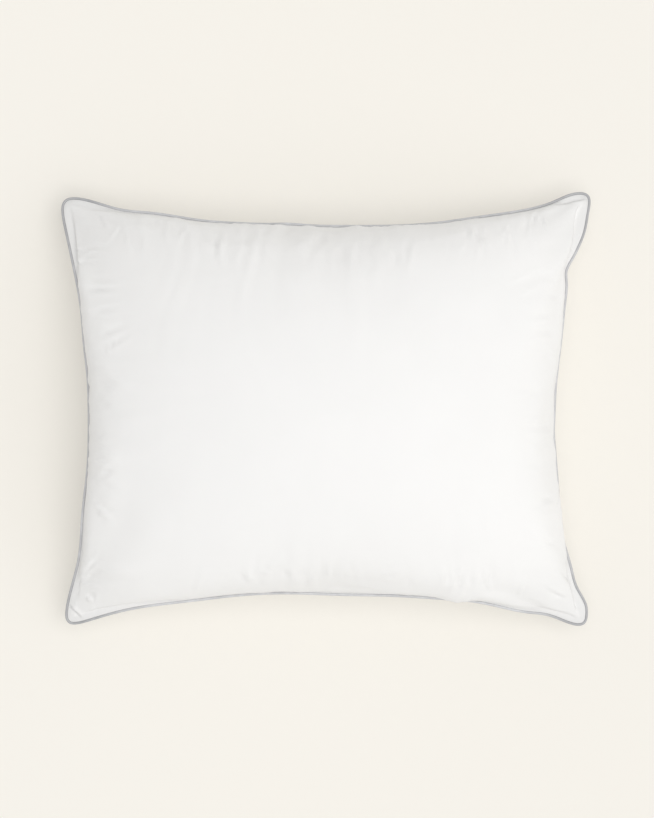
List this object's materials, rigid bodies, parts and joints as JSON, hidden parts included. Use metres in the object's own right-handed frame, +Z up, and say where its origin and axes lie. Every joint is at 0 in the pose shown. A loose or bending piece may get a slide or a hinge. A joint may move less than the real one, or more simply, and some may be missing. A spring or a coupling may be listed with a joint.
{
  "type": "bed pillow",
  "caption": "Rectangular down bed pillow with a white cotton casing, silver-grey corded edge and soft pointed tips, lying flat.",
  "frame": {"origin": "middle of the rest face, under the middle of the pillow", "axes": "+X along the long sides, +Y along the short sides, +Z up from the rest face to the crown"},
  "size_m": [0.5848, 0.4808, 0.1923],
  "materials": {
    "cotton": "white down-proof cotton with a faint sateen sheen",
    "piping": "silver-grey satin bias tape",
    "cord": "unbleached twisted cotton cord",
    "down": "white down clusters, matt and fluffy",
    "thread": "white polyester sewing thread, slight sheen",
    "label": "plain white woven ribbon with nothing on it"
  },
  "bodies": {
    "root": {"top_panel": "cotton", "bottom_panel": "cotton", "piping_tape": "piping", "piping_cord": "cord", "down_fill": "down", "needle_thread": "thread", "bobbin_thread": "thread", "overlock_thread": "thread", "closing_thread": "thread", "care_label": "label"}
  },
  "joints": []
}
